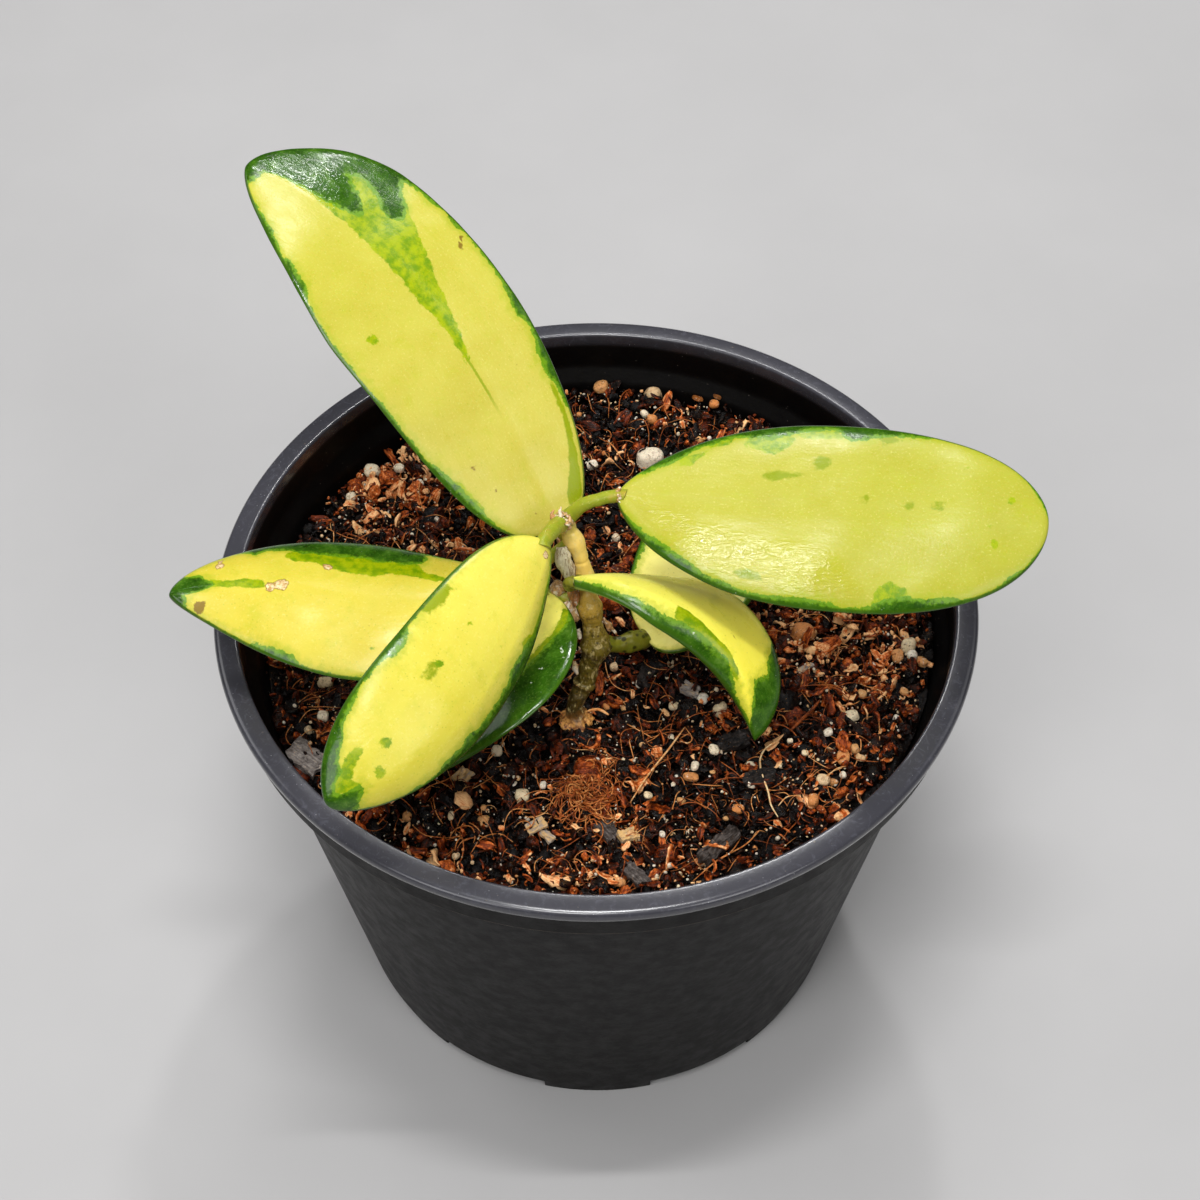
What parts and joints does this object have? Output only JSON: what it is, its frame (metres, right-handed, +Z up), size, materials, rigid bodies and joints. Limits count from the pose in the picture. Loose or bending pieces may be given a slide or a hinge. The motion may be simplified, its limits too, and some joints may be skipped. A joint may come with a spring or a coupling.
{
  "type": "potted hoya plant",
  "caption": "Young hoya cutting with thick oval variegated leaves on a short knotted stem, in a tapered black nursery pot filled with coarse potting mix.",
  "frame": {"origin": "centre of the pot's underside, on the pot's axis", "axes": "+Z up along the pot's axis, -Y towards the side the plant is seen from, +X to the viewer's right"},
  "size_m": [0.1277, 0.12, 0.1411],
  "materials": {
    "pot_plastic": "moulded black polypropylene, matt, with light scuffs",
    "potting_mix": "damp coconut chips, bark and fibre with white perlite grains",
    "stem_bark": "olive to ochre young bark with dry scars and scales",
    "leaf_tissue": "waxy, soft gloss, yellow-green with irregular blue-green margins"
  },
  "bodies": {
    "root": {"pot": "pot_plastic", "potting_mix": "potting_mix", "stem": "stem_bark", "leaf_back": "leaf_tissue", "leaf_right": "leaf_tissue", "leaf_left": "leaf_tissue", "leaf_front": "leaf_tissue", "leaf_under_front": "leaf_tissue", "leaf_curled": "leaf_tissue", "leaf_under_right": "leaf_tissue"}
  },
  "joints": []
}
